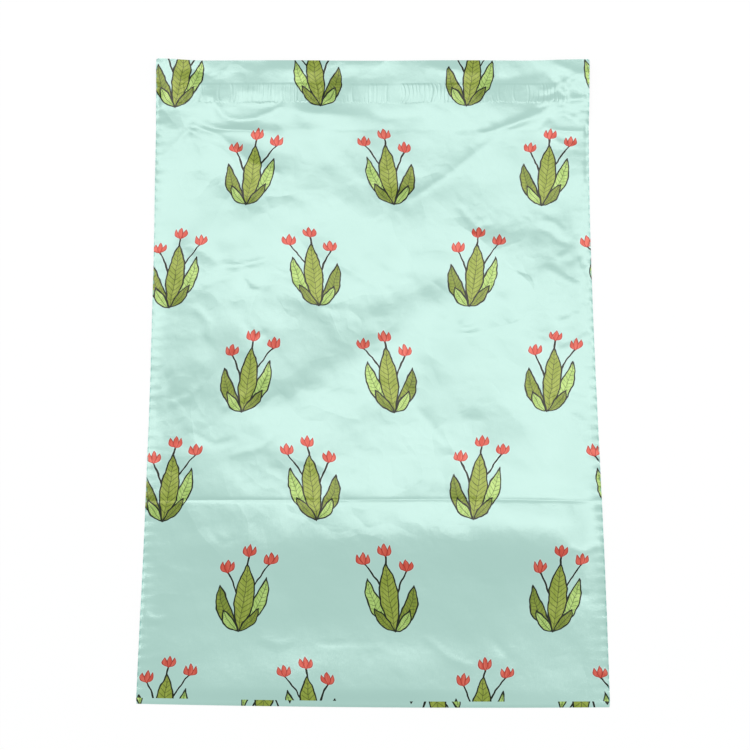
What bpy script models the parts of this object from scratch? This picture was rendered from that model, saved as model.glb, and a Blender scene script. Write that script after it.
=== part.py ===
"""Flat poly mailer bag, lying printed back up: a folded film web, its glue strip and the liner on the glue.

X runs across the bag, Y from the bottom fold to the flap's edge, Z up. The origin is on the surface
that the bag lies on, under the middle of its outline. All sizes are in metres.
"""

import math
from collections.abc import Callable
from typing import NamedTuple

import bmesh
import bpy

# Film web
BAG_WIDTH = 0.254
POCKET_LENGTH = 0.330
FLAP_ROOT = 0.0147
FLAP_TIP = 0.0113
FILM = 0.0000635
WELD_WIDTH = 0.0025
LEFT_SIDE_BOW = 0.0021
RIGHT_SIDE_BOW = 0.0027

# Bottom fold
FOLD_NOSE = 0.0006
FOLD_WALL = 0.00015
FOLD_GAP = 0.0006
FOLD_RISE = 0.045

# Air left between the panels
AIR_GAP = 0.0030
MOUTH_GAP = 0.0007
MOUTH_FALL = 0.040
LEAST_GAP = 0.0004
SIDE_RISE = 0.009
GAP_ROUNDING = 0.0006

# Line where the bag was folded for packing
CREASE_HEIGHT = 0.1123
CREASE_DEPTH = 0.0015
CREASE_SPREAD = 0.004

# Soft folds in the back panel
FOLD_LIFT = 0.0020
FOLD_SPREAD = 0.012

# Weld edges, which lift off the surface here and there
EDGE_LIFT = 0.0009
EDGE_REACH = 0.010
EDGE_WAVE = 0.085

# Flap
FLAP_WAVE = 0.0005
FLAP_WAVE_PITCH = 0.120
CORNER_CURL = 0.0034
CORNER_REACH = 0.030

# Glue strip and its liner, on the inner side of the flap
GLUE_HEIGHT = 0.0113
GLUE_THICKNESS = 0.00012
LINER_MARGIN = 0.0036
LINER_FROM_WELD = 0.0025
LINER_GRIP = 0.0045
LINER_THICKNESS = 0.00006
JOINT_GAP = 0.0003
LINER_CLEARANCE = 0.0001

# Fineness of the solids
COLUMN_CELLS = 22
LOWER_ROWS = 11
UPPER_ROWS = 22
FLAP_ROWS = 3

HALF_WIDTH = BAG_WIDTH / 2
LINER_BOTTOM = POCKET_LENGTH + FLAP_ROOT
GLUE_BOTTOM = LINER_BOTTOM + LINER_MARGIN
GLUE_TOP = GLUE_BOTTOM + GLUE_HEIGHT
LINER_TOP = GLUE_TOP + LINER_MARGIN
BAG_LENGTH = LINER_TOP + FLAP_TIP
LINER_END = WELD_WIDTH + LINER_FROM_WELD
GLUE_END = LINER_END + LINER_GRIP
FLAP_BED = FILM + JOINT_GAP + GLUE_THICKNESS + JOINT_GAP + LINER_THICKNESS + LINER_CLEARANCE


class SoftFold(NamedTuple):
    """A rounded ridge or valley. Places are shares of the half width and of the bag's length."""

    start: tuple[float, float]
    end: tuple[float, float]
    spread: float
    lift: float


# Ridges have a lift above 0, valleys below it; spread and lift are multiples of the two sizes above.
SOFT_FOLDS = (
    SoftFold((-0.80, 0.890), (-0.36, 0.785), 0.8, 1.1),
    SoftFold((-0.80, 0.890), (-0.98, 0.830), 0.8, 0.7),
    SoftFold((-0.68, 0.896), (-0.44, 0.900), 0.5, 0.7),
    SoftFold((-0.68, 0.872), (-0.42, 0.846), 0.7, -0.9),
    SoftFold((-0.16, 0.850), (0.16, 0.805), 1.6, -0.8),
    SoftFold((0.74, 0.905), (0.10, 0.700), 1.0, 1.0),
    SoftFold((0.82, 0.770), (0.50, 0.680), 1.2, -0.8),
    SoftFold((-0.92, 0.665), (-0.70, 0.635), 1.1, -1.0),
    SoftFold((-0.60, 0.560), (-0.30, 0.660), 1.2, 0.5),
    SoftFold((0.12, 0.600), (-0.40, 0.440), 1.5, -0.9),
    SoftFold((0.36, 0.550), (0.88, 0.500), 1.3, 0.7),
    SoftFold((0.92, 0.620), (0.80, 0.560), 0.8, -0.6),
    SoftFold((-0.70, 0.480), (-0.48, 0.455), 1.0, 0.6),
    SoftFold((-0.80, 0.245), (0.80, 0.262), 1.5, 0.9),
    SoftFold((-0.95, 0.210), (-0.72, 0.193), 0.8, -0.5),
    SoftFold((-0.25, 0.090), (0.05, 0.092), 0.9, -0.6),
    SoftFold((0.55, 0.120), (0.85, 0.075), 1.2, -0.5),
)


def smooth_step(value: float) -> float:
    """Ease from 0 to 1 while value goes from 0 to 1."""
    held = min(max(value, 0.0), 1.0)
    return held * held * (3.0 - 2.0 * held)


def soft_least(value: float, least: float) -> float:
    """Keep value above least, with a rounded turn where it reaches it."""
    over = value - least
    return least + 0.5 * (over + math.sqrt(over * over + GAP_ROUNDING * GAP_ROUNDING))


def left_edge(y: float) -> float:
    """X of the left weld's outer edge, bowed inwards at mid length."""
    return -HALF_WIDTH + LEFT_SIDE_BOW * math.sin(math.pi * y / BAG_LENGTH)


def right_edge(y: float) -> float:
    """X of the right weld's outer edge, bowed inwards at mid length."""
    return HALF_WIDTH - RIGHT_SIDE_BOW * math.sin(math.pi * y / BAG_LENGTH)


def side_inset(x: float, y: float) -> float:
    """Distance from a point to the nearer side edge."""
    return max(min(x - left_edge(y), right_edge(y) - x), 0.0)


def soft_folds(x: float, y: float) -> float:
    """Sum of the ridges and valleys: each falls off as a bell with the distance to its line."""
    total = 0.0
    for fold in SOFT_FOLDS:
        start_x, start_y = fold.start[0] * HALF_WIDTH, fold.start[1] * BAG_LENGTH
        run_x = fold.end[0] * HALF_WIDTH - start_x
        run_y = fold.end[1] * BAG_LENGTH - start_y
        along = ((x - start_x) * run_x + (y - start_y) * run_y) / (run_x * run_x + run_y * run_y)
        along = min(max(along, 0.0), 1.0)
        away = math.hypot(x - start_x - along * run_x, y - start_y - along * run_y)
        total += fold.lift * FOLD_LIFT * math.exp(-((away / (fold.spread * FOLD_SPREAD)) ** 2))
    return total


def panel_gap(x: float, y: float) -> float:
    """Height of the air between the two panels: none in the welds, most inside the pocket."""
    inside = side_inset(x, y) - WELD_WIDTH
    if inside <= 0.0:
        return 0.0
    swell = FOLD_GAP + (AIR_GAP - FOLD_GAP) * smooth_step(y / FOLD_RISE)
    swell += (MOUTH_GAP - AIR_GAP) * smooth_step((y - POCKET_LENGTH + MOUTH_FALL) / MOUTH_FALL)
    relief = smooth_step(y / FOLD_RISE) * soft_folds(x, y)
    crease = CREASE_DEPTH * math.exp(-abs(y - CREASE_HEIGHT) / CREASE_SPREAD)
    side = 1.0 - math.exp(-inside / SIDE_RISE)
    return side * soft_least(swell + relief - crease, LEAST_GAP)


def underside(x: float, y: float) -> float:
    """Height of the front panel's outer face: flat on the surface, lifted in waves at the side edges."""
    wave = 0.5 - 0.5 * math.cos(2.0 * math.pi * y / EDGE_WAVE)
    near_edge = max(1.0 - side_inset(x, y) / EDGE_REACH, 0.0)
    return EDGE_LIFT * wave * near_edge * near_edge


def flap_top(x: float, y: float) -> float:
    """Height of the flap's printed face: it rests on the liner, waves a little and curls at one corner."""
    wave = FLAP_WAVE * (0.5 - 0.5 * math.cos(2.0 * math.pi * (x + HALF_WIDTH) / FLAP_WAVE_PITCH))
    corner = math.hypot(x + HALF_WIDTH, y - BAG_LENGTH)
    curl = CORNER_CURL * smooth_step(1.0 - corner / CORNER_REACH)
    return FLAP_BED + wave + curl


def top(x: float, y: float) -> float:
    """Height of the printed face of the back panel and, past the mouth, of the flap."""
    pocket = underside(x, y) + 2.0 * FILM + panel_gap(x, y)
    share = smooth_step((y - POCKET_LENGTH) / (LINER_BOTTOM - POCKET_LENGTH))
    return pocket + share * (flap_top(x, y) - pocket)


def fold_middle(x: float, y: float) -> float:
    """Height of the middle line of the bottom fold, the same from its nose to its root."""
    return 0.5 * (top(x, FOLD_NOSE) + underside(x, FOLD_NOSE))


def film_inside(x: float, y: float) -> float:
    """Height of the inner face of the back panel and the flap."""
    return top(x, y) - FILM


def spaced(start: float, end: float, cells: int) -> list[float]:
    """Places of even cells from start up to, but without, end."""
    return [start + (end - start) * i / cells for i in range(cells)]


def columns(y: float) -> list[float]:
    """X places of the grid lines at one height: welds, liner ends and glue ends, then even cells."""
    insets = (0.0, WELD_WIDTH, LINER_END)
    left = [left_edge(y) + inset for inset in insets]
    right = [right_edge(y) - inset for inset in reversed(insets)]
    first, last = left_edge(y) + GLUE_END, right_edge(y) - GLUE_END
    return left + spaced(first, last, COLUMN_CELLS) + [last] + right


def pocket_rows() -> list[float]:
    """Y places of the grid lines from the bottom fold's nose to the mouth, with three at the crease."""
    below, above = CREASE_HEIGHT - CREASE_SPREAD, CREASE_HEIGHT + CREASE_SPREAD
    lower = spaced(FOLD_NOSE, below, LOWER_ROWS)
    upper = spaced(above, POCKET_LENGTH, UPPER_ROWS)
    return lower + [below, CREASE_HEIGHT] + upper + [POCKET_LENGTH]


def flap_rows() -> list[float]:
    """Y places of the grid lines past the mouth, with one at each edge of the glue and the liner."""
    root = spaced(POCKET_LENGTH, LINER_BOTTOM, FLAP_ROWS)[1:]
    tip = spaced(LINER_TOP, BAG_LENGTH, FLAP_ROWS)
    return root + [LINER_BOTTOM, GLUE_BOTTOM, GLUE_TOP] + tip + [BAG_LENGTH]


def points_at(
    mesh: bmesh.types.BMesh, places: list[float], y: float, height: Callable[[float, float], float]
) -> list[bmesh.types.BMVert]:
    """Add one vertex for each X place, at the height that the given function states there."""
    return [mesh.verts.new((x, y - BAG_LENGTH / 2, height(x, y))) for x in places]


def stitch(mesh: bmesh.types.BMesh, first: list, second: list) -> None:
    """Fill the strip between two rows of vertices; rows that share a vertex meet there in a triangle."""
    for i in range(len(first) - 1):
        corners = (first[i], first[i + 1], second[i + 1], second[i])
        mesh.faces.new(list(dict.fromkeys(corners)))


def stitch_rows(mesh: bmesh.types.BMesh, rows: list[list]) -> None:
    """Fill the strips between each row and the next."""
    for first, second in zip(rows, rows[1:]):
        stitch(mesh, first, second)


def add_object(name: str, mesh: bmesh.types.BMesh, material: bpy.types.Material) -> bpy.types.Object:
    """Turn a closed bmesh into a named object with its faces pointing out."""
    bmesh.ops.recalc_face_normals(mesh, faces=mesh.faces)
    data = bpy.data.meshes.new(name)
    mesh.to_mesh(data)
    mesh.free()
    data.materials.append(material)
    data.shade_smooth()
    data.set_sharp_from_angle(angle=math.radians(40.0))
    part = bpy.data.objects.new(name, data)
    bpy.context.scene.collection.objects.link(part)
    return part


def finish(name: str, colour: tuple[float, float, float], roughness: float) -> bpy.types.Material:
    """Make a plain plastic finish."""
    material = bpy.data.materials.new(name)
    material.use_nodes = True
    shader = material.node_tree.nodes["Principled BSDF"]
    shader.inputs["Base Color"].default_value = (*colour, 1.0)
    shader.inputs["Roughness"].default_value = roughness
    shader.inputs["Metallic"].default_value = 0.0
    return material


def film_body() -> bpy.types.Object:
    """Build the folded web: two panels joined at the bottom fold and in the side welds, and the flap.

    Four layers of points share one grid: the back panel's printed face, its inner face, the front
    panel's inner face and its printed face. The inner faces meet along the welds and in the fold.
    """
    mesh = bmesh.new()
    rows = [(columns(y), y) for y in pocket_rows()]
    nose = points_at(mesh, columns(0.0), 0.0, fold_middle)
    outer_top = [points_at(mesh, places, y, top) for places, y in rows]
    outer_bottom = [points_at(mesh, places, y, underside) for places, y in rows]
    ceiling = [points_at(mesh, places[1:-1], y, film_inside) for places, y in rows]
    edges = [points_at(mesh, [places[0], places[-1]], y, film_inside) for places, y in rows]
    floor = []
    for (places, y), above in zip(rows, ceiling):
        between = points_at(mesh, places[2:-2], y, lambda x, y: underside(x, y) + FILM)
        floor.append([above[0], *between, above[-1]])

    # Printed faces, round the nose of the bottom fold
    stitch_rows(mesh, [nose] + outer_top)
    stitch_rows(mesh, [nose] + outer_bottom)

    # Inner faces, joined inside the fold
    fold_line = points_at(mesh, columns(FOLD_WALL)[2:-2], FOLD_WALL, fold_middle)
    fold_line = [ceiling[0][0], *fold_line, ceiling[0][-1]]
    stitch_rows(mesh, [fold_line] + ceiling)
    stitch_rows(mesh, [fold_line] + floor)

    # Cut edges of the side welds, each with the line between its two films
    for side in (0, -1):
        upper = [row[side] for row in outer_top]
        middle = [row[side] for row in edges]
        lower = [row[side] for row in outer_bottom]
        stitch(mesh, [nose[side]] + upper, [nose[side]] + middle)
        stitch(mesh, [nose[side]] + middle, [nose[side]] + lower)

    # Lip of the front panel at the mouth, with the ends of the welds
    mouth_line = [edges[-1][0], *floor[-1], edges[-1][-1]]
    stitch(mesh, mouth_line, outer_bottom[-1])

    # Flap: its printed face carries on from the back panel, its inner face from the ceiling
    flap_outer = [points_at(mesh, columns(y), y, top) for y in flap_rows()]
    flap_inner = [points_at(mesh, columns(y), y, film_inside) for y in flap_rows()]
    root_inner = [edges[-1][0], *ceiling[-1], edges[-1][-1]]
    stitch_rows(mesh, [outer_top[-1]] + flap_outer)
    stitch_rows(mesh, [root_inner] + flap_inner)
    for side in (0, -1):
        stitch(
            mesh,
            [outer_top[-1][side]] + [row[side] for row in flap_outer],
            [root_inner[side]] + [row[side] for row in flap_inner],
        )
    stitch(mesh, flap_outer[-1], flap_inner[-1])
    return add_object("film_body", mesh, finish("printed_film", (0.57, 0.80, 0.74), 0.35))


def strip(low: float, high: float, skipped: int, drop: float, thickness: float) -> bmesh.types.BMesh:
    """Build a flat band that follows the flap's inner side.

    It runs from low to high along Y, leaves out the skipped outermost grid lines on either side, and its
    upper face lies drop under the flap's printed face.
    """
    mesh = bmesh.new()
    upper, lower = [], []
    for y in (place for place in flap_rows() if low <= place <= high):
        places = columns(y)[skipped:-skipped]
        upper.append(points_at(mesh, places, y, lambda x, y: top(x, y) - drop))
        lower.append(points_at(mesh, places, y, lambda x, y: top(x, y) - drop - thickness))
    stitch_rows(mesh, upper)
    stitch_rows(mesh, lower)
    stitch(mesh, upper[0], lower[0])
    stitch(mesh, upper[-1], lower[-1])
    for side in (0, -1):
        stitch(mesh, [row[side] for row in upper], [row[side] for row in lower])
    return mesh


def adhesive_strip() -> bpy.types.Object:
    """Build the band of glue across the inner side of the flap."""
    mesh = strip(GLUE_BOTTOM, GLUE_TOP, 3, FILM + JOINT_GAP, GLUE_THICKNESS)
    return add_object("adhesive_strip", mesh, finish("hot_melt_glue", (0.78, 0.74, 0.60), 0.25))


def release_liner() -> bpy.types.Object:
    """Build the peel-off strip that covers the glue."""
    drop = FILM + JOINT_GAP + GLUE_THICKNESS + JOINT_GAP
    mesh = strip(LINER_BOTTOM, LINER_TOP, 2, drop, LINER_THICKNESS)
    return add_object("release_liner", mesh, finish("liner_film", (0.86, 0.87, 0.87), 0.30))


for old in list(bpy.data.objects):
    bpy.data.objects.remove(old, do_unlink=True)

film_body()
adhesive_strip()
release_liner()
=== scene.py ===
"""Looks of an empty poly mailer bag that lies flat with its printed back up.

All lengths are in metres. A place on the bag is x, across it from its middle line, and y, along it
from the bottom fold. The frame's origin is on the floor under the middle of the bag's outline.
"""

import logging
import math
from collections.abc import Sequence
from dataclasses import dataclass, field
from enum import Enum
from functools import reduce
from typing import Any, NamedTuple

import bmesh
import bpy
import numpy as np
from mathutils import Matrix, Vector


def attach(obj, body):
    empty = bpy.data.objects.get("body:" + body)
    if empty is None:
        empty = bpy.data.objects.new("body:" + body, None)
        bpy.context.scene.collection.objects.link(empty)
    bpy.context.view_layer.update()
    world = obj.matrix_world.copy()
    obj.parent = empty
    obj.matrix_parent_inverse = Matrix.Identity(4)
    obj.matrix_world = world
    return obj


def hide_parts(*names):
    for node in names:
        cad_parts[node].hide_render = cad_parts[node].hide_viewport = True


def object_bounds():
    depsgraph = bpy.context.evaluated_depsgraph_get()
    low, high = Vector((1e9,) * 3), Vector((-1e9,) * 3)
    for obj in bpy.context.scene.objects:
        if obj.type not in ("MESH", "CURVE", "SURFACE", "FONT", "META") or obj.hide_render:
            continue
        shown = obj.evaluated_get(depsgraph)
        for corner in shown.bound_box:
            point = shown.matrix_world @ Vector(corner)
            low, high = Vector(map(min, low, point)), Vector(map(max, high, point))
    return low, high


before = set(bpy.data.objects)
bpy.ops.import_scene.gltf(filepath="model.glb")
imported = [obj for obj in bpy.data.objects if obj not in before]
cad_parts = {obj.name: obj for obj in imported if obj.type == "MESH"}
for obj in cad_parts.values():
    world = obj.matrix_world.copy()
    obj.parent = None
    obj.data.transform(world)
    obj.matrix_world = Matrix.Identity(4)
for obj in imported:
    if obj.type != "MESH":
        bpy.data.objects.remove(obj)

LOG = logging.getLogger("mailer")
Array = np.ndarray
Colour = tuple[float, float, float]

CAD_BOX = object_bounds()
MM = 0.001
WHITE: Colour = (1.0, 1.0, 1.0)
POLYETHYLENE_IOR = 1.50
SHARP_ANGLE = math.radians(50.0)


class Side(Enum):
    """Which face of the web a polygon of the film belongs to."""

    PRINTED_BACK = 0
    PRINTED_FRONT = 1
    INNER = 2


class SoftFold(NamedTuple):
    """A broad ridge or valley. Places are shares of the half width and of the bag's length."""

    start: tuple[float, float]
    end: tuple[float, float]
    spread: float
    lift: float


class Crease(NamedTuple):
    """A narrow ridge or valley along a chain of points, in millimetres on the bag."""

    points: tuple[tuple[float, float], ...]
    spread: float
    lift: float


def smooth_step(value: Array) -> Array:
    """Ease from 0 to 1 while value goes from 0 to 1.

    Args:
        value: Any array.

    Returns:
        3 t squared minus 2 t cubed, with t the value held between 0 and 1.
    """
    held = np.clip(value, 0.0, 1.0)
    return held * held * (3.0 - 2.0 * held)


def distance_to_chain(x: Array, y: Array, points: Sequence[tuple[float, float]]) -> Array:
    """Distance from each place to a chain of straight runs.

    For each run the place is projected on it, the projection is held between its ends, and the
    distance to that nearest point is taken. The least of these over the runs is the result.

    Args:
        x: Places across.
        y: Places along, of the same shape.
        points: Corners of the chain, in the same units.

    Returns:
        The distances, of the shape of x.
    """
    nearest = np.full(np.shape(x), np.inf)
    for (start_x, start_y), (end_x, end_y) in zip(points, points[1:]):
        run_x, run_y = end_x - start_x, end_y - start_y
        along = ((x - start_x) * run_x + (y - start_y) * run_y) / (run_x**2 + run_y**2)
        along = np.clip(along, 0.0, 1.0)
        away = np.hypot(x - start_x - along * run_x, y - start_y - along * run_y)
        nearest = np.minimum(nearest, away)
    return nearest


def sway(place: Array, pitch: float, start: float = 0.0) -> Array:
    """Sine wave between -1 and 1 along a line, with the given pitch and start."""
    return np.sin(2.0 * np.pi * place / pitch + start)


def keep_above(value: Array, least: Array | float, rounding: float) -> Array:
    """Hold a value above a lower limit; a hyperbola rounds the corner where the two cross."""
    over = value - least
    return least + 0.5 * (over + np.hypot(over, rounding))


@dataclass(frozen=True)
class FilmForm:
    """Form of the folded film web: its outline and the height of each of its faces.

    The outline, the film and the bands under the flap have the sizes of the CAD solids. The air
    inside and the broad folds are shaped here, and DressedFilm adds the finer relief to them.
    """

    width: float = CAD_BOX[1][0] - CAD_BOX[0][0]
    length: float = CAD_BOX[1][1] - CAD_BOX[0][1]
    flap: float = 0.0445
    film: float = 0.0000635
    weld: float = 0.0025
    left_bow: float = 0.0021
    right_bow: float = 0.0027
    right_skew: float = 1.8
    fold_bow: float = 0.060
    fold_low_at: float = 0.062
    fold_bow_reach: float = 0.070
    fold_nose: float = 0.0006
    fold_wall: float = 0.00015
    fold_gap: float = 0.0006
    low_gap: float = 0.0015
    low_rise: float = 0.009
    bulge_start: float = 0.030
    bulge_rise: float = 0.062
    air_gap: float = 0.0031
    mouth_gap: float = 0.0012
    mouth_fall: float = 0.070
    least_gap: float = 0.0004
    side_rise: float = 0.026
    right_rise: float = 0.022
    side_power: float = 1.2
    gap_rounding: float = 0.0006
    crease_height: float = 0.1123
    crease_depth: float = 0.00035
    crease_spread: float = 0.0060
    fold_lift: float = 0.0009
    fold_spread: float = 0.012
    edge_lift: float = 0.0009
    edge_reach: float = 0.010
    edge_wave: float = 0.085
    right_edge_wave: float = 0.170
    corner_radius: float = 0.0014
    flap_root: float = 0.0147
    liner_margin: float = 0.0036
    glue_height: float = 0.0113
    glue: float = 0.00012
    liner: float = 0.00006
    joint_gap: float = 0.0003
    liner_clearance: float = 0.0001
    flap_fall: float = 0.0006
    flap_wave: float = 0.0005
    flap_wave_pitch: float = 0.120
    corner_curl: float = 0.0034
    corner_reach: float = 0.030
    right_curl: float = 0.0022
    right_reach: float = 0.042
    liner_end: float = 0.0050
    glue_end: float = 0.0095
    print_edge: float = 0.0032

    @property
    def mouth(self) -> float:
        """Y of the mouth's lip."""
        return self.length - self.flap

    @property
    def liner_low(self) -> float:
        """Y of the liner's edge that is nearer the mouth."""
        return self.mouth + self.flap_root

    @property
    def glue_low(self) -> float:
        """Y of the glue band's edge that is nearer the mouth."""
        return self.liner_low + self.liner_margin

    @property
    def glue_high(self) -> float:
        """Y of the glue band's edge that is nearer the flap's edge."""
        return self.glue_low + self.glue_height

    @property
    def liner_high(self) -> float:
        """Y of the liner's edge that is nearer the flap's edge."""
        return self.glue_high + self.liner_margin

    @property
    def flap_bed(self) -> float:
        """Height of the flap's printed face where it lies on glue and liner."""
        return self.film + self.glue + self.liner + 2.0 * self.joint_gap + self.liner_clearance

    def corner_pull(self, y: Array) -> Array:
        """How far the sides are drawn in where a quarter circle rounds the corners off."""
        left_over = np.clip(1.0 - np.minimum(y, self.length - y) / self.corner_radius, 0.0, 1.0)
        return self.corner_radius * (1.0 - np.sqrt(1.0 - left_over**2))

    def left_edge(self, y: Array) -> Array:
        """X of the left side: a half sine bows it inwards."""
        return -0.5 * self.width + self.left_bow * np.sin(np.pi * y / self.length) + self.corner_pull(y)

    def right_edge(self, y: Array) -> Array:
        """X of the right side: a half sine bows it inwards, most in its upper part."""
        share = np.clip(y / self.length, 0.0, 1.0) ** self.right_skew
        return 0.5 * self.width - self.right_bow * np.sin(np.pi * share) - self.corner_pull(y)

    def sides(self, y: float) -> tuple[float, float]:
        """X of both sides at one place along the bag."""
        return float(self.left_edge(np.array(y))), float(self.right_edge(np.array(y)))

    def fold_lean(self, x: Array, y: Array) -> Array:
        """How far the film is drawn up near the bottom fold, which isn't quite straight: a parabola."""
        fade = 1.0 - smooth_step(y / self.fold_bow_reach)
        return self.fold_bow * (x - self.fold_low_at) ** 2 * fade

    def side_inset(self, x: Array, y: Array) -> Array:
        """Distance from each place to the nearer side edge."""
        return np.maximum(np.minimum(x - self.left_edge(y), self.right_edge(y) - x), 0.0)

    def clear_of_sides(self, x: Array, y: Array, reach: float) -> Array:
        """0 at the sides, easing up to 1 at the given distance from them."""
        return smooth_step(self.side_inset(x, y) / reach)

    def soft_folds(self, x: Array, y: Array) -> Array:
        """Sum of bells across the broad ridges and valleys, each by the distance to its line."""
        total = np.zeros(np.shape(x))
        for fold in SOFT_FOLDS:
            ends = [(p[0] * 0.5 * self.width, p[1] * self.length) for p in (fold.start, fold.end)]
            away = distance_to_chain(x, y, ends) / (fold.spread * self.fold_spread)
            total += fold.lift * self.fold_lift * np.exp(-(away**2))
        return total

    def panel_gap(self, x: Array, y: Array) -> Array:
        """Height of the air between the panels: zero in the welds, easing up to the full gap inside.

        The gap grows from the bottom fold in two steps, falls towards the mouth, follows the soft
        folds and is pressed down along the packing crease. A rounded lower limit keeps it open.
        """
        left = np.maximum(x - self.left_edge(y) - self.weld, 0.0) / self.side_rise
        right = np.maximum(self.right_edge(y) - x - self.weld, 0.0) / self.right_rise
        open_up = (1.0 - np.exp(-(left**self.side_power))) * (1.0 - np.exp(-(right**self.side_power)))
        rise = smooth_step(y / self.low_rise)
        bulge = smooth_step((y - self.bulge_start) / self.bulge_rise)
        swell = self.fold_gap + (self.low_gap - self.fold_gap) * rise
        swell = swell + (self.air_gap - self.low_gap) * bulge
        fall = smooth_step((y - self.mouth + self.mouth_fall) / self.mouth_fall)
        swell = swell + (self.mouth_gap - self.air_gap) * fall
        crease = self.crease_depth * np.exp(-np.abs(y - self.crease_height) / self.crease_spread)
        swell = swell + rise * self.soft_folds(x, y) - crease
        return open_up * keep_above(swell, self.least_gap, self.gap_rounding)

    def underside(self, x: Array, y: Array) -> Array:
        """Height of the front panel's printed face: flat inside, lifted in waves at the edges."""
        pitch = np.where(x > 0.0, self.right_edge_wave, self.edge_wave)
        wave = 0.5 - 0.5 * np.cos(2.0 * np.pi * y / pitch)
        near = np.maximum(1.0 - self.side_inset(x, y) / self.edge_reach, 0.0)
        return self.edge_lift * wave * near * near

    def flap_top(self, x: Array, y: Array) -> Array:
        """Height of the flap's printed face: it falls to its edge, with a slow wave and curled corners."""
        turn = 2.0 * np.pi * (x + 0.5 * self.width) / self.flap_wave_pitch
        left = np.hypot(x + 0.5 * self.width, y - self.length)
        right = np.hypot(x - 0.5 * self.width, y - self.length)
        curl = self.corner_curl * smooth_step(1.0 - left / self.corner_reach)
        curl = curl + self.right_curl * smooth_step(1.0 - right / self.right_reach)
        fall = self.flap_fall * np.clip((self.length - y) / self.flap, 0.0, 1.0)
        return self.flap_bed + fall + self.flap_wave * (0.5 - 0.5 * np.cos(turn)) + curl

    def top(self, x: Array, y: Array) -> Array:
        """Height of the printed back and flap, before the finer relief."""
        pocket = self.underside(x, y) + 2.0 * self.film + self.panel_gap(x, y)
        share = smooth_step((y - self.mouth) / (self.liner_low - self.mouth))
        return pocket + share * (self.flap_top(x, y) - pocket)


# Ridges have a lift above 0, valleys below it; spread and lift are multiples of the form's two sizes.
SOFT_FOLDS = (
    SoftFold((-0.80, 0.890), (-0.50, 0.815), 0.8, 0.4),
    SoftFold((-0.80, 0.890), (-0.98, 0.830), 0.8, 0.7),
    SoftFold((-0.68, 0.896), (-0.44, 0.900), 0.5, 0.7),
    SoftFold((-0.64, 0.866), (-0.42, 0.846), 0.7, -0.5),
    SoftFold((-0.16, 0.850), (0.16, 0.805), 1.6, -0.3),
    SoftFold((0.74, 0.905), (0.10, 0.700), 1.0, 0.4),
    SoftFold((0.82, 0.770), (0.50, 0.680), 1.2, -0.25),
    SoftFold((-1.00, 0.656), (-0.60, 0.724), 1.2, 1.4),
    SoftFold((-0.98, 0.628), (-0.32, 0.630), 2.3, 1.6),
    SoftFold((-0.96, 0.552), (-0.44, 0.560), 1.0, 0.5),
    SoftFold((-0.99, 0.492), (-0.80, 0.508), 0.9, 1.1),
    SoftFold((-0.33, 0.448), (0.26, 0.596), 1.25, -1.7),
    SoftFold((0.24, 0.560), (0.42, 0.620), 1.3, -0.35),
    SoftFold((0.14, 0.628), (0.80, 0.765), 1.4, 0.60),
    SoftFold((-0.90, 0.440), (0.10, 0.450), 2.6, -0.65),
    SoftFold((-0.90, 0.655), (0.90, 0.665), 2.8, 0.7),
    SoftFold((0.98, 0.617), (0.86, 0.607), 0.7, 1.0),
    SoftFold((-1.00, 0.425), (-0.66, 0.425), 2.2, 0.35),
    SoftFold((-0.88, 0.298), (-0.26, 0.302), 1.0, 0.6),
    SoftFold((-0.72, 0.245), (0.80, 0.254), 1.5, 1.2),
    SoftFold((0.80, 0.060), (0.82, 0.190), 2.2, -1.0),
    SoftFold((0.58, 0.255), (1.00, 0.250), 1.7, 1.2),
    SoftFold((0.05, 0.262), (0.98, 0.262), 3.6, 0.9),
    SoftFold((-0.95, 0.020), (0.12, 0.026), 1.7, 1.5),
)

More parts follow.
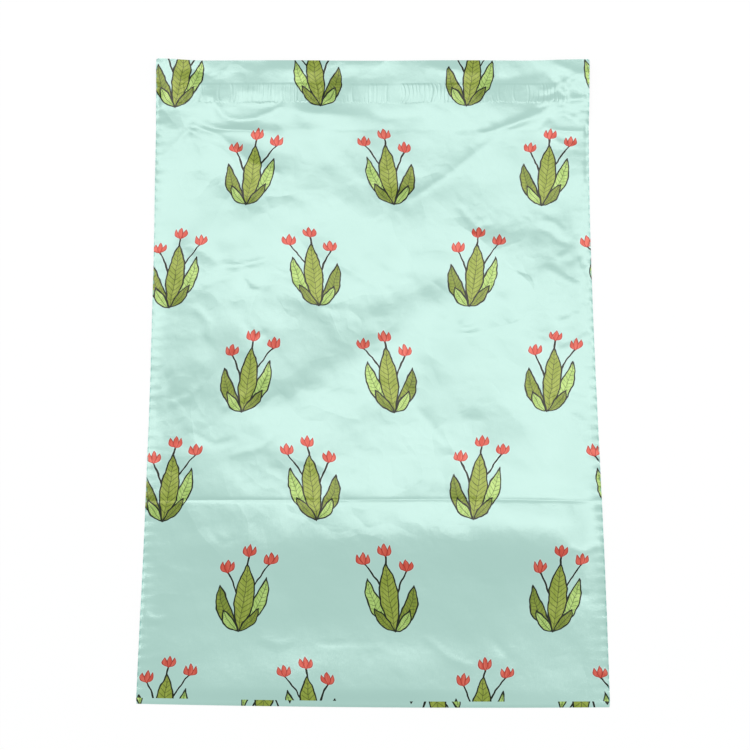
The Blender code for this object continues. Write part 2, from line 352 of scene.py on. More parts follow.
# Narrow creases that show one by one, in millimetres
CREASES = (
    Crease(
        ((-94, 352), (-91, 345), (-88, 340), (-83, 337), (-78, 336), (-69, 337), (-61, 341), (-54, 344)),
        spread=2.0,
        lift=0.42,
    ),
    Crease(((-99, 334), (-93, 332), (-86, 331), (-78, 331), (-66, 330)), 1.6, -0.34),
    Crease(((-105, 333), (-113, 324), (-122, 314)), 2.2, 0.34),
    Crease(((-105, 333), (-93, 329), (-81, 321), (-73, 312), (-56, 304)), 2.2, 0.34),
    Crease(((-74, 303), (-62, 297), (-40, 286)), 2.2, -0.12),
    Crease(((-112, 368), (-96, 366)), 5.0, -0.45),
    Crease(((-60, 369), (-35, 367)), 6.0, 0.45),
    Crease(((-20, 364), (10, 366)), 6.0, -0.55),
    Crease(((35, 370), (60, 366)), 5.0, 0.45),
    Crease(((75, 362), (100, 368)), 5.0, -0.45),
    Crease(((108, 371), (122, 364)), 4.0, 0.50),
    Crease(((100, 355), (109, 358), (117, 363)), 1.6, 0.50),
    Crease(((104, 364), (109, 356), (112, 350)), 1.4, -0.40),
    Crease(((110, 362), (115, 351)), 1.3, 0.36),
    Crease(((116, 360), (121, 352)), 1.4, -0.28),
    Crease(((97, 347), (107, 350), (116, 349), (124, 351)), 2.0, 0.55),
    Crease(((64, 328), (78, 333), (94, 338), (105, 346)), 3.0, 0.60),
    Crease(((102, 331), (112, 330), (124, 330)), 2.8, 0.45),
    Crease(((104, 326), (109, 322), (116, 321)), 1.5, 0.36),
    Crease(((126, 341), (120, 338), (117, 341)), 1.2, 0.32),
    Crease(((107, 318), (112, 322), (117, 320)), 1.3, -0.24),
    Crease(((-76, 346), (-60, 345)), 6.0, -0.60),
    Crease(((0, 343), (30, 340)), 6.0, -0.45),
    Crease(((-42, 341), (-15, 339)), 5.0, 0.35),
    Crease(((-87, 248), (-76, 247), (-63, 250)), 1.7, -0.40),
    Crease(((-108, 262), (-95, 254), (-87, 248)), 2.4, 0.25),
    Crease(((-75, 243), (-70, 233), (-64, 233)), 1.6, -0.38),
    Crease(((-95, 236), (-84, 240), (-75, 243), (-64, 233), (-55, 238)), 2.0, 0.22),
    Crease(((-100, 222), (-92, 214), (-93, 206)), 1.8, 0.24),
    Crease(((-72, 213), (-66, 205), (-62, 207)), 1.7, -0.24),
    Crease(((49, 283), (54, 277), (60, 269), (64, 272)), 1.4, -0.24),
    Crease(((94, 342), (70, 325), (45, 304), (22, 288)), 2.4, 0.30),
    Crease(((110, 344), (104, 337), (98, 330)), 1.6, 0.38),
    Crease(((119, 359), (111, 356), (105, 350)), 1.1, 0.34),
    Crease(((125, 341), (116, 338), (110, 341), (104, 337)), 1.5, -0.32),
    Crease(((96, 270), (102, 268), (106, 263), (111, 262)), 1.5, -0.30),
    Crease(((98, 275), (104, 274), (108, 269)), 1.4, 0.28),
    Crease(((124, 272), (117, 264), (111, 255), (106, 253)), 1.7, 0.30),
    Crease(((124, 262), (118, 255), (112, 250)), 1.8, -0.26),
    Crease(((123, 226), (116, 219), (105, 214)), 1.8, 0.34),
    Crease(((123, 214), (115, 206), (107, 202)), 1.7, -0.38),
    Crease(((47, 214), (51, 209), (58, 211)), 1.4, -0.34),
    Crease(((38, 220), (47, 214), (52, 218)), 1.8, 0.24),
    Crease(((100, 245), (112, 238), (121, 236)), 2.0, 0.26),
    Crease(((4, 246), (14, 239), (22, 240)), 1.8, -0.16),
    Crease(((-20, 252), (-8, 240), (10, 232)), 2.6, -0.18),
    Crease(((26, 163), (33, 154), (39, 146)), 1.4, -0.20),
    Crease(((-55, 172), (-62, 165), (-64, 158)), 1.6, -0.22),
    Crease(((-62, 182), (-70, 172), (-82, 165)), 2.4, 0.26),
    Crease(((-96, 178), (-104, 170), (-112, 168)), 2.0, 0.22),
    Crease(((-121, 183), (-116, 176), (-118, 171)), 1.7, -0.55),
    Crease(((-53, 150), (-62, 142), (-78, 138)), 1.8, 0.20),
    Crease(((-100, 150), (-88, 143), (-78, 146)), 2.0, -0.18),
    Crease(((88, 181), (104, 172), (120, 169)), 2.2, 0.24),
    Crease(((112, 160), (121, 154), (124, 149)), 1.5, -0.36),
    Crease(((-117, 78), (-106, 73), (-94, 72)), 1.2, 0.10),
    Crease(((-88, 94), (-83, 88), (-76, 90)), 1.5, -0.16),
    Crease(((-124, 50), (-118, 46), (-114, 47)), 1.3, 0.30),
    Crease(((-124, 42), (-118, 43)), 1.2, -0.30),
    Crease(((-124, 24), (-117, 26), (-112, 26)), 1.5, 0.16),
    Crease(((-28, 33.6), (-16, 34.4), (2, 34.6)), 0.8, -0.09),
    Crease(((-30, 31), (-14, 31), (4, 32)), 1.5, 0.06),
    Crease(((-60, 36), (-50, 33), (-44, 35)), 1.6, 0.14),
    Crease(((30, 36), (42, 26), (52, 22)), 1.8, 0.16),
    Crease(((66, 34), (74, 26), (70, 20)), 1.6, -0.15),
    Crease(((124, 66), (117, 60), (112, 61)), 1.5, -0.34),
    Crease(((123, 88), (115, 84), (109, 86)), 1.7, 0.30),
)


@dataclass(frozen=True)
class CrumpleField:
    """The flat facets and small crumples of a film that has been folded and handled."""

    seed: int = 11
    facet_count: int = 90
    facet_slope: float = 0.028
    facet_least: float = 11.0 * MM
    facet_most: float = 40.0 * MM
    ridge_rounding: float = 1.0 * MM
    crease_count: int = 210
    shortest: float = 4.0 * MM
    longest: float = 20.0 * MM
    narrowest: float = 1.0 * MM
    widest: float = 2.4 * MM
    lift: float = 0.10 * MM
    wave_count: int = 22
    wave_shortest: float = 14.0 * MM
    wave_longest: float = 60.0 * MM
    wave_lift: float = 0.05 * MM

    def waves(self, x: Array, y: Array, seed: int, shortest: float, longest: float) -> Array:
        """Sum of plane waves with drawn directions, lengths and phases, scaled to a spread of one.

        Args:
            x: Places across.
            y: Places along.
            seed: Seed of the draw.
            shortest: Least wave length.
            longest: Greatest wave length.

        Returns:
            The sum divided by the root of half the number of waves.
        """
        draw = np.random.default_rng(seed)
        total = np.zeros(np.shape(x))
        for _ in range(self.wave_count):
            turn = draw.uniform(0.0, 2.0 * np.pi)
            step = 2.0 * np.pi / draw.uniform(shortest, longest)
            phase = draw.uniform(0.0, 2.0 * np.pi)
            total += np.sin(step * (x * np.cos(turn) + y * np.sin(turn)) + phase)
        return total / math.sqrt(0.5 * self.wave_count)

    def facets(self, x: Array, y: Array, width: float, length: float) -> Array:
        """Facets that meet in straight ridges and valleys.

        Each one is a tent across a drawn line, with even slopes on both sides of a slightly rounded
        ridge. A bell of its own reach makes it fade with the distance from its middle.

        Args:
            x: Places across.
            y: Places along.
            width: Width that the middles are spread over.
            length: Length that the middles are spread over.

        Returns:
            Sum of the tents' heights.
        """
        draw = np.random.default_rng(self.seed + 1)
        total = np.zeros(np.shape(x))
        for _ in range(self.facet_count):
            from_x = x - draw.uniform(-0.5, 0.5) * width
            from_y = y - draw.uniform(0.0, 1.0) * length
            turn = draw.uniform(0.0, np.pi)
            reach = draw.uniform(self.facet_least, self.facet_most)
            slope = draw.uniform(-1.0, 1.0) * self.facet_slope
            across = from_x * math.sin(turn) - from_y * math.cos(turn)
            bell = np.exp(-0.5 * (from_x**2 + from_y**2) / reach**2)
            total += slope * (np.hypot(across, self.ridge_rounding) - reach) * bell
        return total

    def creases(self, x: Array, y: Array, width: float, length: float) -> Array:
        """Sum of short straight creases, each a bell across its line, drawn all over the bag."""
        draw = np.random.default_rng(self.seed)
        total = np.zeros(np.shape(x))
        for _ in range(self.crease_count):
            middle_x = draw.uniform(-0.5, 0.5) * width
            middle_y = draw.uniform(0.0, 1.0) * length
            turn = draw.uniform(0.0, np.pi)
            half = 0.5 * draw.uniform(self.shortest, self.longest)
            spread = draw.uniform(self.narrowest, self.widest)
            lift = draw.uniform(-1.0, 1.0) * self.lift
            run = (half * math.cos(turn), half * math.sin(turn))
            ends = [(middle_x - run[0], middle_y - run[1]), (middle_x + run[0], middle_y + run[1])]
            total += lift * np.exp(-distance_to_chain(x, y, ends) / spread)
        return total


@dataclass(frozen=True)
class Puckers:
    """Regular nips that the hot knife leaves along the side welds."""

    pitch: float = 5.7 * MM
    reach: float = 3.2 * MM
    lift: float = 0.16 * MM
    bead: float = 1.6
    beat_pitch: float = 3.7
    wobble: float = 0.10 * MM
    wobble_pitch: float = 5.3

    def height(self, inset: Array, y: Array) -> Array:
        """A bead along the edge with uneven waves on it, fading with the distance from the edge."""
        beat = sway(y, self.pitch) + 0.5 * sway(y, self.beat_pitch * self.pitch)
        return self.lift * (beat + self.bead) * np.exp(-inset / self.reach)

    def shift(self, y: Array) -> Array:
        """How far the cut edge wanders in and out: two waves with lengths that don't match."""
        fast, slow = sway(y, self.pitch), sway(y, self.wobble_pitch * self.pitch, 1.0)
        return self.wobble * (0.5 + 0.3 * fast + 0.2 * slow)


@dataclass(frozen=True)
class DressedFilm:
    """The film's faces with all the relief that shows."""

    form: FilmForm
    crumples: CrumpleField = CrumpleField()
    puckers: Puckers = Puckers()
    crease_core: float = 0.35
    crease_fade: float = 0.65
    calm_low: float = 0.35
    calm_middle: float = 0.45
    calm_flap: float = 0.40
    calm_reach: float = 12.0 * MM
    weld_fade: float = 4.0 * MM
    fold_fade: float = 8.0 * MM
    flap_edge_fade: float = 2.0 * MM
    flap_edge_share: float = 0.4
    groove: float = 0.12 * MM
    groove_spread: float = 0.85 * MM
    groove_end: float = 5.0 * MM
    groove_bend: float = 0.25 * MM
    groove_bend_pitch: float = 150.0 * MM
    groove_patch_pitch: float = 83.0 * MM
    ridge: float = 0.02 * MM
    ridge_below: float = 2.0 * MM
    ridge_spread: float = 1.0 * MM
    lip: float = 0.12 * MM
    lip_spread: float = 1.1 * MM
    lip_end: float = 6.0 * MM
    lip_tail: float = 5.0
    lip_patch_pitch: float = 96.0 * MM
    spare: float = 0.30 * MM
    spare_reach: float = 7.0 * MM
    glue_cover: float = 0.22 * MM
    limit_rounding: float = 0.10 * MM
    arch: float = 0.10 * MM
    arch_start: float = 0.2
    arch_reach: float = 12.0 * MM
    arch_shortest: float = 30.0 * MM
    arch_longest: float = 90.0 * MM

    def fine_relief(self, x: Array, y: Array) -> Array:
        """Height that the small relief adds, faded out where the film is held flat.

        Args:
            x: Places across.
            y: Places along.

        Returns:
            Sum of the named creases, the drawn crumples, facets and waves.
        """
        form, crumple = self.form, self.crumples
        named = np.zeros(np.shape(x))
        for crease in CREASES:
            away = distance_to_chain(x / MM, y / MM, crease.points) / crease.spread
            away = np.hypot(away, self.crease_core)
            named += crease.lift * MM * np.exp(-(away - self.crease_core) / self.crease_fade)
        calm = self.calm_low + self.calm_middle * smooth_step((y - form.crease_height) / self.calm_reach)
        calm = calm + self.calm_flap * smooth_step((y - form.mouth) / self.calm_reach + 0.5)
        small = calm * crumple.creases(x, y, form.width, form.length)
        small += calm * crumple.facets(x, y, form.width, form.length)
        small += crumple.wave_lift * crumple.waves(
            x, y, crumple.seed + 2, crumple.wave_shortest, crumple.wave_longest
        )
        near_edge = smooth_step((form.length - y) / self.flap_edge_fade)
        edge_share = self.flap_edge_share + (1.0 - self.flap_edge_share) * near_edge
        small *= smooth_step(y / self.fold_fade) * edge_share
        return (named + small) * form.clear_of_sides(x, y, self.weld_fade)

    def crease_line(self, x: Array, y: Array) -> Array:
        """The sharp line in the middle of the packing crease, a narrow groove with a ridge below it."""
        form = self.form
        away = y - form.crease_height - self.groove_bend * sway(x, self.groove_bend_pitch)
        groove = self.groove * np.exp(-((away / self.groove_spread) ** 2))
        ridge = self.ridge * np.exp(-(((away + self.ridge_below) / self.ridge_spread) ** 2))
        patchy = 0.85 + 0.15 * sway(x, self.groove_patch_pitch, 1.1)
        return form.clear_of_sides(x, y, self.groove_end) * patchy * (ridge - groove)

    def lip_line(self, x: Array, y: Array) -> Array:
        """The mouth's lip, felt through the back panel: a small step down towards the flap."""
        away = (y - self.form.mouth) / self.lip_spread
        step = (0.5 + 0.5 * np.tanh(away)) * np.exp(-np.maximum(away, 0.0) / self.lip_tail)
        patchy = 0.6 + 0.4 * sway(x, self.lip_patch_pitch, 2.6)
        return -self.lip * self.form.clear_of_sides(x, y, self.lip_end) * patchy * step

    def back(self, x: Array, y: Array) -> Array:
        """Height of the printed face of the back panel and the flap.

        The relief is kept above the front panel and, on the flap, above the glue. In the welds
        there is none but the puckers.
        """
        form = self.form
        inset, smooth = form.side_inset(x, y), form.top(x, y)
        low = form.underside(x, y) + 2.0 * form.film
        low = low + self.spare * smooth_step((inset - form.weld) / self.spare_reach)
        on_flap = smooth_step((y - form.mouth) / (form.liner_low - form.mouth))
        low = low + on_flap * (smooth - self.glue_cover - low)
        rough = smooth + self.fine_relief(x, y) + self.crease_line(x, y) + self.lip_line(x, y)
        held = keep_above(rough, low, self.limit_rounding)
        return np.where(inset > form.weld, held, smooth) + self.puckers.height(inset, y)

    def front(self, x: Array, y: Array) -> Array:
        """Height of the printed face of the front panel, which lies on the floor."""
        form = self.form
        slow = self.crumples.waves(x, y, self.crumples.seed + 5, self.arch_shortest, self.arch_longest)
        arch = self.arch * np.maximum(slow - self.arch_start, 0.0)
        arch = arch * form.clear_of_sides(x, y, self.arch_reach)
        return form.underside(x, y) + arch + self.puckers.height(form.side_inset(x, y), y)


class Shell:
    """A closed mesh put together from rows of points. Each face carries the side it belongs to."""

    def __init__(self, form: FilmForm) -> None:
        """Start empty, with the form whose bag the rows cross."""
        self.form = form
        self.parts: list[Array] = []
        self.flat: list[Array] = []
        self.faces: list[list[int]] = []
        self.sides: list[int] = []
        self.count = 0

    def row(self, x: Array, y: float, z: Array) -> Array:
        """Add a row of points across the bag.

        The points are drawn up along the bag near the bottom fold, while their place on the flat
        film stays, and the middle of the bag comes to the origin.

        Args:
            x: Places across.
            y: Place along, the same for the whole row.
            z: Heights.

        Returns:
            The points' numbers.
        """
        along = np.full(len(x), y)
        drawn_up = along + self.form.fold_lean(x, along) - 0.5 * self.form.length
        self.parts.append(np.column_stack([x, drawn_up, z]))
        self.flat.append(np.column_stack([x, along]))
        self.count += len(x)
        return np.arange(self.count - len(x), self.count)

    def strip(self, first: Array, second: Array, side: Side) -> None:
        """Fill the strip between two rows of as many points; shared end points make triangles."""
        quads = np.column_stack([first[:-1], first[1:], second[1:], second[:-1]]).tolist()
        quads[0] = list(dict.fromkeys(quads[0]))
        quads[-1] = list(dict.fromkeys(quads[-1]))
        self.faces += quads
        self.sides += [side.value] * len(quads)

    def fill(self, rows: list[Array], side: Side) -> None:
        """Fill a layer between each row and the next."""
        for low, high in zip(rows, rows[1:]):
            self.strip(low, high, side)

    def blend(self, fine: Array, fine_at: Array, coarse: Array, coarse_at: Array, side: Side) -> None:
        """Fill the strip between a fine row and a coarse one with one polygon for each coarse cell.

        Args:
            fine: Point numbers of the fine row.
            fine_at: Places of those points across, rising, which hold all of the coarse ones.
            coarse: Point numbers of the coarse row.
            coarse_at: Places of those points across.
            side: The side that the faces belong to.
        """
        picks = np.searchsorted(fine_at, coarse_at - 1e-9)
        for i, (start, end) in enumerate(zip(picks, picks[1:])):
            corners = fine[start : end + 1].tolist() + [int(coarse[i + 1]), int(coarse[i])]
            self.faces.append(list(dict.fromkeys(corners)))
            self.sides.append(side.value)

    def mesh(self, name: str) -> bpy.types.Mesh:
        """Make the mesh, with its faces pointing out and shaded smooth.

        Args:
            name: Name of the mesh data.

        Returns:
            The mesh; its polygons keep the order in which they were added.
        """
        data = bpy.data.meshes.new(name)
        data.from_pydata(np.concatenate(self.parts).tolist(), [], self.faces)
        work = bmesh.new()
        work.from_mesh(data)
        bmesh.ops.recalc_face_normals(work, faces=work.faces)
        work.to_mesh(data)
        work.free()
        data.shade_smooth()
        data.set_sharp_from_angle(angle=SHARP_ANGLE)
        return data


def add_piece(data: bpy.types.Mesh) -> bpy.types.Object:
    """Link a mesh as an object of the same name, at the origin."""
    piece = bpy.data.objects.new(data.name, data)
    bpy.context.scene.collection.objects.link(piece)
    return piece


def report(piece: bpy.types.Object) -> None:
    """Log a piece's name, its number of triangles and its size in millimetres."""
    triangles = sum(len(face.vertices) - 2 for face in piece.data.polygons)
    spans = np.empty(len(piece.data.vertices) * 3, dtype=np.float32)
    piece.data.vertices.foreach_get("co", spans)
    size = np.ptp(spans.reshape(-1, 3), axis=0) / MM
    LOG.info("%s: %d triangles, %.1f x %.1f x %.2f mm", piece.name, triangles, *size)


@dataclass
class FilmWeb:
    """The folded, welded film web: back panel, front panel and flap in one closed thin mesh."""

    dressed: DressedFilm
    cell: float = 1.61 * MM
    front_skip: int = 4
    edge_insets: tuple[float, ...] = (0.0, 0.35 * MM, 0.9 * MM, 1.6 * MM)
    close_steps: tuple[float, ...] = (0.35 * MM, 0.8 * MM, 1.5 * MM, 2.4 * MM)
    last_cell: float = 0.6 * MM
    slack: float = 1e-6
    stations: dict[str, Array] = field(default_factory=dict)

    def __post_init__(self) -> None:
        """Work out the places of the grid lines across the bag, as an inset and a share.

        A grid line is stored as one number: 0 to 1 runs over the left weld, 1 to 2 over the pocket
        and 2 to 3 over the right weld, so that the same lines follow the bowed sides.
        """
        form = self.dressed.form
        left = np.array(self.edge_insets) / form.weld
        right = 3.0 - left[::-1]
        cells = round((form.width - 2 * form.weld) / self.cell / self.front_skip) * self.front_skip
        inside = 1.0 + np.linspace(0.0, 1.0, cells + 1)
        self.stations["film"] = np.concatenate([left, inside, right])
        near = inside[1 : self.front_skip : 2]
        coarse = np.concatenate([inside[:: self.front_skip], near, 3.0 - near])
        self.stations["front"] = np.concatenate([left, np.sort(coarse), right])

    def across(self, name: str, y: float) -> Array:
        """X places of a set of grid lines at one height, with the wandering cut edge in them."""
        form = self.dressed.form
        lines = self.stations[name]
        nip = float(self.dressed.puckers.shift(np.array(y)))
        left, right = form.sides(y)
        left, right = left + nip, right - nip
        low, high = left + form.weld, right - form.weld
        inside = low + (high - low) * (lines - 1.0)
        x = np.where(lines < 1.0, left + lines * form.weld, inside)
        return np.where(lines > 2.0, high + (lines - 2.0) * form.weld, x)

    def rows(self) -> Array:
        """Y places of the grid lines along the bag, from the fold's root to the flap's edge.

        Even cells fill the stretches between the fixed lines, which are the print's edge, close
        lines on either side of the crease and the mouth, and the edges of the glue. Places that
        are the same to a ten-thousandth of a millimetre count as one line.
        """
        form = self.dressed.form
        steps = np.array(self.close_steps)
        fixed = [form.fold_nose, form.print_edge, form.crease_height, form.mouth, form.length]
        fixed += [form.glue_low, form.glue_high, form.length - self.last_cell]
        for place in (form.crease_height, form.mouth):
            fixed += (place + steps).tolist() + (place - steps).tolist()
        fixed = np.unique(np.round(fixed, 7))
        rows = []
        for start, end in zip(fixed, fixed[1:]):
            cells = max(round((end - start) / self.cell), 1)
            rows.append(np.linspace(start, end, cells + 1)[:-1])
        return np.concatenate([*rows, [form.length]])

    def build(self) -> bpy.types.Object:
        """Make the web, its print map and its sides.

        The printed back, the inner faces and the printed front are grids on the same rows. The inner
        faces meet at the weld lines and in the bottom fold; the front panel has fewer grid lines
        across, and polygons join it to the finer back at the fold.

        Returns:
            The film, with material slot 0 for print and slot 1 for the inner side.
        """
        form, dressed = self.dressed.form, self.dressed
        shell = Shell(form)
        rows = self.rows()
        weld = len(self.edge_insets)
        mouth = int(np.searchsorted(rows, form.mouth - self.slack))
        pane, middle = slice(weld, -weld), slice(weld + 1, -weld - 1)
        rims = [*range(weld), *range(-weld, 0)]

        back, inner, edge, front, floor = [], [], [], [], []
        for y in rows:
            x = self.across("film", y)
            z = dressed.back(x, np.full(len(x), y))
            back.append(shell.row(x, y, z))
            inner.append(shell.row(x[pane], y, z[pane] - form.film))
            edge.append(shell.row(x[rims], y, z[rims] - form.film))
        for y, border in zip(rows[: mouth + 1], inner):
            x = self.across("front", y)
            z = dressed.front(x, np.full(len(x), y))
            front.append(shell.row(x, y, z))
            centre = shell.row(x[middle], y, z[middle] + form.film)
            floor.append(np.concatenate([border[:1], centre, border[-1:]]))
        shell.fill(back, Side.PRINTED_BACK)
        shell.fill(inner, Side.INNER)
        shell.fill(front, Side.PRINTED_FRONT)
        shell.fill(floor, Side.INNER)

        x = self.across("film", rows[0])
        z = 0.5 * (dressed.back(x, np.full(len(x), rows[0])) + form.film)
        nose = shell.row(x, 0.0, z)
        shell.strip(nose, back[0], Side.PRINTED_BACK)
        fine_at, coarse_at = self.stations["film"], self.stations["front"]
        shell.blend(nose, fine_at, front[0], coarse_at, Side.PRINTED_FRONT)
        inside = shell.row(x[middle], form.fold_wall, z[middle])
        inside = np.concatenate([inner[0][:1], inside, inner[0][-1:]])
        shell.strip(inside, inner[0], Side.INNER)
        shell.blend(inside, fine_at[pane], floor[0], coarse_at[pane], Side.INNER)

        for end in (0, -1):
            upper, seam, under = (
                np.array([nose[end], *(row[end] for row in layer[: mouth + 1])])
                for layer in (back, edge, front)
            )
            shell.strip(upper, seam, Side.PRINTED_BACK)
            shell.strip(seam, under, Side.PRINTED_FRONT)
            upper, seam = (np.array([row[end] for row in layer[mouth:]]) for layer in (back, edge))
            shell.strip(upper, seam, Side.PRINTED_BACK)
        flap = list(zip(edge[mouth:], inner[mouth:]))
        shell.fill([np.concatenate([rim[:weld], line[:1]]) for rim, line in flap], Side.INNER)
        shell.fill([np.concatenate([line[-1:], rim[weld:]]) for rim, line in flap], Side.INNER)
        lip = np.concatenate([edge[mouth][:weld], floor[-1], edge[mouth][weld:]])
        shell.strip(lip, front[-1], Side.PRINTED_FRONT)
        last = np.concatenate([edge[-1][:weld], inner[-1], edge[-1][weld:]])
        shell.strip(back[-1], last, Side.PRINTED_BACK)

        data = shell.mesh("film")
        self.map_film(data, shell)
        return add_piece(data)

    def map_film(self, data: bpy.types.Mesh, shell: Shell) -> None:
        """Write the two maps of the film, in metres, and give the faces their slots.

        The first map places the print on the unfolded web. The back's print runs up from the print's
        edge just above the fold. The front's print starts at the same line, turned round, goes down
        through the fold and on over the front panel. The second map holds the distance from the
        nearer side edge and the place along it, for the welds.

        Args:
            data: The film's mesh.
            shell: What the mesh was made from.
        """
        form = self.dressed.form
        corners, polygons = len(data.loops), len(data.polygons)
        point = np.empty(corners, dtype=np.int32)
        data.loops.foreach_get("vertex_index", point)
        sizes = np.empty(polygons, dtype=np.int32)
        data.polygons.foreach_get("loop_total", sizes)
        owner = np.repeat(np.arange(polygons), sizes)
        x, y = np.concatenate(shell.flat)[point].T
        middle = np.bincount(owner, weights=y, minlength=polygons) / sizes
        sides = np.array(shell.sides)
        side = sides[owner]
        turned = (side == Side.PRINTED_BACK.value) & (middle[owner] < form.print_edge)
        front = side == Side.PRINTED_FRONT.value
        u = np.where(turned | front, -x, x)
        v = np.where(front, form.print_edge + y, np.where(turned, form.print_edge - y, y - form.print_edge))
        for name, chart in (("film_print", (u, v)), ("weld_chart", (form.side_inset(x, y), y))):
            layer = data.uv_layers.new(name=name)
            layer.data.foreach_set("uv", np.column_stack(chart).ravel().astype(np.float32))
        data.polygons.foreach_set("material_index", (sides == Side.INNER.value).astype(np.int32))
        data.update()


@dataclass
class Band:
    """A thin closed band that follows the flap's inner side."""

    dressed: DressedFilm
    name: str
    low: float
    high: float
    end: float
    drop: float
    thickness: float
    across_cells: int = 220
    along_cells: int = 12
    waver: float = 0.0
    waver_pitch: float = 31.0 * MM
    waver_power: int = 6

    def build(self) -> bpy.types.Object:
        """Make the band: a grid for its upper face, the same grid one thickness lower, and its rim."""
        form = self.dressed.form
        shell = Shell(form)
        upper, lower = [], []
        for y in np.linspace(self.low, self.high, self.along_cells + 1):
            left, right = form.sides(y)
            x = np.linspace(left + self.end, right - self.end, self.across_cells + 1)
            share = abs(2.0 * (y - self.low) / (self.high - self.low) - 1.0) ** self.waver_power
            height = form.top(x, np.full(len(x), y)) - self.drop
            height = height + share * self.waver * sway(x, self.waver_pitch)
            upper.append(shell.row(x, y, height))
            lower.append(shell.row(x, y, height - self.thickness))
        shell.fill(upper, Side.INNER)
        shell.fill(lower, Side.INNER)
        for end in (0, -1):
            shell.strip(upper[end], lower[end], Side.INNER)
            rims = (np.array([row[end] for row in layer]) for layer in (upper, lower))
            shell.strip(*rims, Side.INNER)
        return add_piece(shell.mesh(self.name))


class Graph:
    """The node tree of one material, with a short way to add nodes."""

    def __init__(self, name: str) -> None:
        """Make a material with an empty tree and a Principled shader."""
        self.material = bpy.data.materials.new(name)
        self.material.use_nodes = True
        self.tree = self.material.node_tree
        self.tree.nodes.clear()
        self.shader = self.tree.nodes.new("ShaderNodeBsdfPrincipled")
        self.output = self.tree.nodes.new("ShaderNodeOutputMaterial")
        self.tree.links.new(self.shader.outputs[0], self.output.inputs[0])

    def node(self, kind: str, settings: dict[str, Any], inputs: dict[Any, Any]) -> bpy.types.Node:
        """Add a node.

        Args:
            kind: The node's type.
            settings: Its own settings, which are set first.
            inputs: Its sockets, by name or number, each with a value, a socket or a Value.

        Returns:
            The node.
        """
        made = self.tree.nodes.new(kind)
        for key, setting in settings.items():
            setattr(made, key, setting)
        for key, given in inputs.items():
            self.feed(made.inputs[key], given)
        return made

    def feed(self, socket: bpy.types.NodeSocket, given: Any) -> None:
        """Link a socket to another one, or set its value."""
        if isinstance(given, Value):
            given = given.socket
        if isinstance(given, bpy.types.NodeSocket):
            self.tree.links.new(given, socket)
        else:
            socket.default_value = given

    def math(self, operation: str, *terms: "Value | float") -> "Value":
        """Add a Math node with up to three terms."""
        made = self.node("ShaderNodeMath", {"operation": operation}, dict(enumerate(terms)))
        return Value(self, made.outputs[0])

    def vector(self, x: Any, y: Any, z: Any = 0.0) -> bpy.types.NodeSocket:
        """Join three numbers into a vector."""
        return self.node("ShaderNodeCombineXYZ", {}, {0: x, 1: y, 2: z}).outputs[0]

    def split(self, socket: bpy.types.NodeSocket) -> tuple["Value", "Value", "Value"]:
        """Take a vector or a colour apart into its three numbers."""
        parts = self.node("ShaderNodeSeparateXYZ", {}, {0: socket}).outputs
        return Value(self, parts[0]), Value(self, parts[1]), Value(self, parts[2])

    def chart(self, name: str) -> tuple["Value", "Value"]:
        """Read a map and return its two numbers, in millimetres."""
        across, along, _ = self.split(self.node("ShaderNodeUVMap", {"uv_map": name}, {}).outputs[0])
        return across / MM, along / MM

    def place(self) -> bpy.types.NodeSocket:
        """Read the Object coordinates."""
        return self.node("ShaderNodeTexCoord", {}, {}).outputs["Object"]

    def bag_place(self, form: FilmForm) -> tuple["Value", "Value"]:
        """Read the place across the bag and along it, in millimetres, from Object coordinates."""
        x, y, _ = self.split(self.place())
        return x / MM, y / MM + 0.5 * form.length / MM

    def noise(self, vector: bpy.types.NodeSocket, scale: float, detail: float = 2.0) -> "Value":
        """Add a noise texture and return its value, about 0.5 on average."""
        made = self.node("ShaderNodeTexNoise", {}, {"Vector": vector, "Scale": scale, "Detail": detail})
        return Value(self, made.outputs[0])

    def mix(self, share: Any, first: Any, second: Any) -> bpy.types.NodeSocket:
        """Mix two colours: the first where share is 0, the second where it is 1."""
        first, second = ((*c, 1.0) if isinstance(c, tuple) and len(c) == 3 else c for c in (first, second))
        made = self.node("ShaderNodeMix", {"data_type": "RGBA"}, {0: share, 6: first, 7: second})
        return made.outputs[2]

    def finish(self, **inputs: Any) -> bpy.types.Material:
        """Feed the shader's sockets, with underscores for the spaces in their names."""
        for key, given in inputs.items():
            self.feed(self.shader.inputs[key.replace("_", " ")], given)
        return self.material

    def bump(self, height: "Value", distance: float, strength: float = 1.0) -> bpy.types.NodeSocket:
        """Add a Bump node whose height is in units of the given distance."""
        inputs = {"Height": height, "Distance": distance, "Strength": strength}
        return self.node("ShaderNodeBump", {}, inputs).outputs[0]

    def drift(self, x: "Value", y: "Value", scale: float, detail: float) -> tuple["Value", "Value", "Value"]:
        """Add a noise texture and return three numbers that differ, each about 0.5 on average."""
        inputs = {"Vector": self.vector(x, y), "Scale": scale, "Detail": detail}
        return self.split(self.node("ShaderNodeTexNoise", {}, inputs).outputs[1])

    def borders(self, along: "Value", pitch: float) -> "Value":
        """Divide a line into uneven cells and return the distance to the nearest border."""
        settings = {"voronoi_dimensions": "1D", "feature": "DISTANCE_TO_EDGE"}
        made = self.node("ShaderNodeTexVoronoi", settings, {"W": along, "Scale": 1.0 / pitch})
        return Value(self, made.outputs[0]) * pitch


